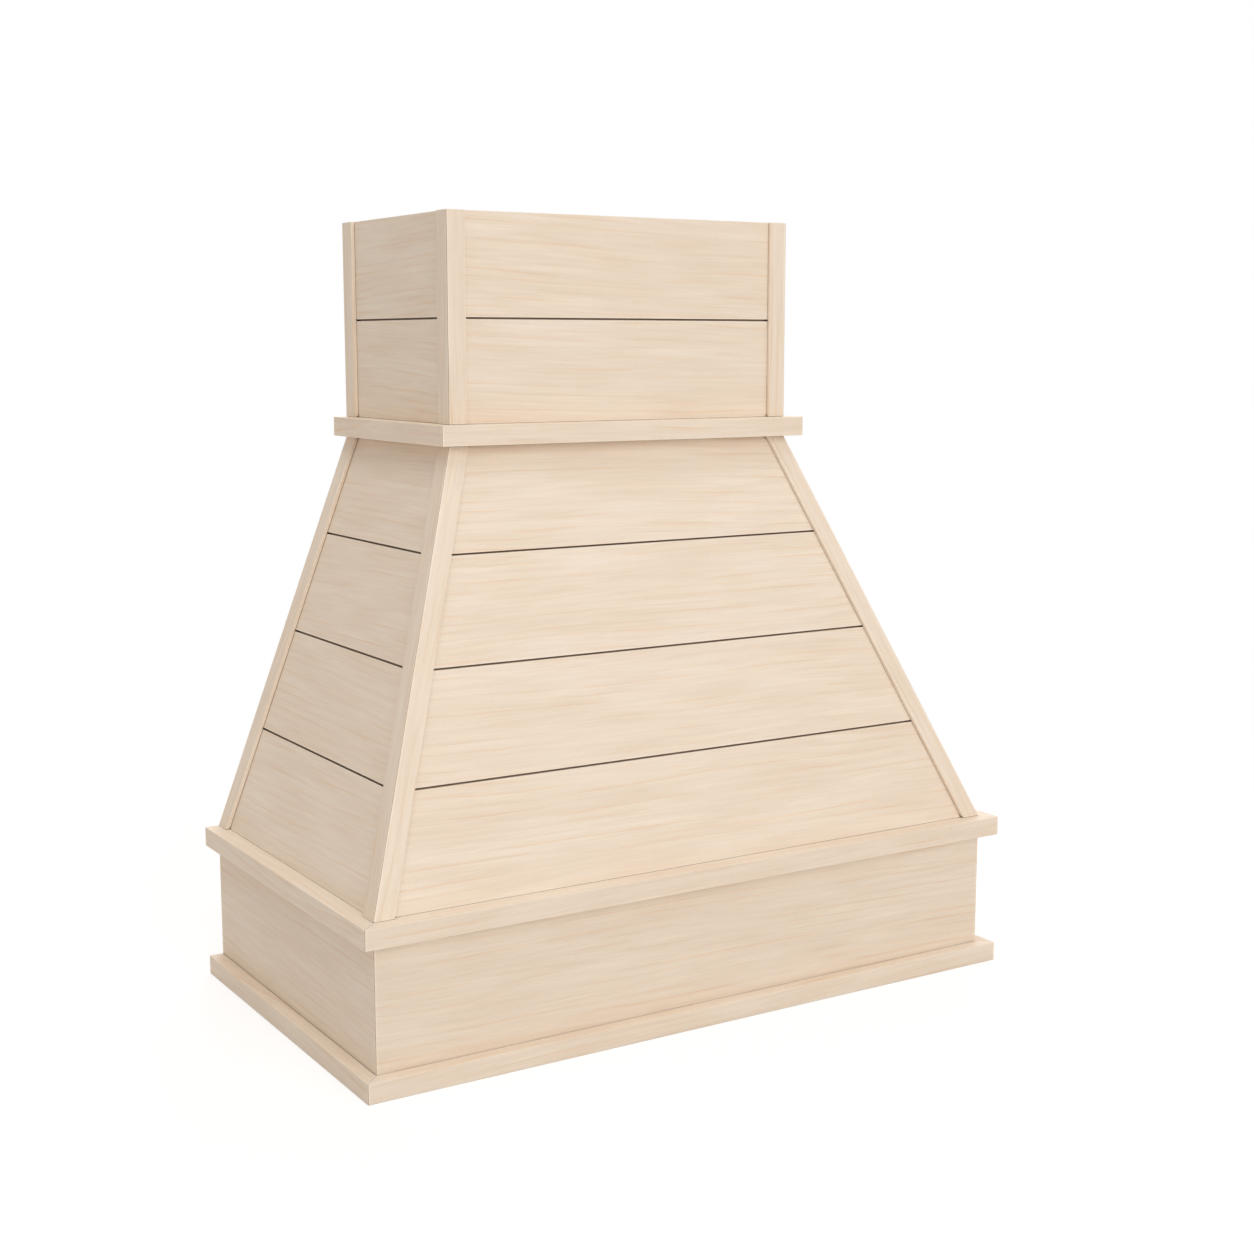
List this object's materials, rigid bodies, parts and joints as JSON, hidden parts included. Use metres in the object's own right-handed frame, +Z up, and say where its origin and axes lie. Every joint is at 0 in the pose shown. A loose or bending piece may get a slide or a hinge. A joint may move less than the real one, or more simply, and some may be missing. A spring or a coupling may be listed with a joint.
{
  "type": "range hood cover",
  "caption": "Wooden range hood cover with a straight apron, a leaning shiplap taper and a shiplap chimney, open at the back, bottom and top, for a ventilator insert and its duct.",
  "frame": {"origin": "middle of the footprint of the whole cover, trim included, at the height of the bottom edge; the wall behind the cover is the plane y = +0.2635", "axes": "+Z up, -Y out of the front face into the room, +Y into the wall, +X to the right of a person who faces the front"},
  "size_m": [0.9524, 0.527, 1.016],
  "materials": {
    "shiplap_wood": "unfinished, fine sanded maple boards, grain along the board",
    "strap_wood": "unfinished, fine sanded maple strips, grain along the strip",
    "trim_wood": "unfinished, fine sanded maple trim with mitred corners",
    "apron_wood": "unfinished, fine sanded maple boards with mitred corners",
    "plywood": "raw plywood with a plain veneer face",
    "rail_wood": "raw planed softwood"
  },
  "bodies": {
    "root": {"bottom_band_front": "trim_wood", "bottom_band_left": "trim_wood", "bottom_band_right": "trim_wood", "apron_front": "apron_wood", "apron_left": "apron_wood", "apron_right": "apron_wood", "ledge_front": "trim_wood", "ledge_left": "trim_wood", "ledge_right": "trim_wood", "taper_board_front_1": "shiplap_wood", "taper_board_front_2": "shiplap_wood", "taper_board_front_3": "shiplap_wood", "taper_board_front_4": "shiplap_wood", "taper_board_left_1": "shiplap_wood", "taper_board_left_2": "shiplap_wood", "taper_board_left_3": "shiplap_wood", "taper_board_left_4": "shiplap_wood", "taper_board_right_1": "shiplap_wood", "taper_board_right_2": "shiplap_wood", "taper_board_right_3": "shiplap_wood", "taper_board_right_4": "shiplap_wood", "taper_backer_front": "plywood", "taper_backer_left": "plywood", "taper_backer_right": "plywood", "taper_strap_front_left": "strap_wood", "taper_strap_front_right": "strap_wood", "taper_strap_left_front": "strap_wood", "taper_strap_left_back": "strap_wood", "taper_strap_right_front": "strap_wood", "taper_strap_right_back": "strap_wood", "chimney_strap_front_left": "strap_wood", "chimney_strap_front_right": "strap_wood", "chimney_strap_left_front": "strap_wood", "chimney_strap_left_back": "strap_wood", "chimney_strap_right_front": "strap_wood", "chimney_strap_right_back": "strap_wood", "collar_front": "trim_wood", "collar_left": "trim_wood", "collar_right": "trim_wood", "chimney_board_front_1": "shiplap_wood", "chimney_board_front_2": "shiplap_wood", "chimney_board_left_1": "shiplap_wood", "chimney_board_left_2": "shiplap_wood", "chimney_board_right_1": "shiplap_wood", "chimney_board_right_2": "shiplap_wood", "chimney_backer_front": "plywood", "chimney_backer_left": "plywood", "chimney_backer_right": "plywood", "liner_rail_front": "rail_wood", "liner_rail_left": "rail_wood", "liner_rail_right": "rail_wood", "apron_back_rail": "rail_wood", "hanging_rail": "rail_wood", "wall_cleat": "rail_wood", "chimney_back_rail": "rail_wood", "chimney_cleat_left": "rail_wood", "chimney_cleat_right": "rail_wood"}
  },
  "joints": []
}
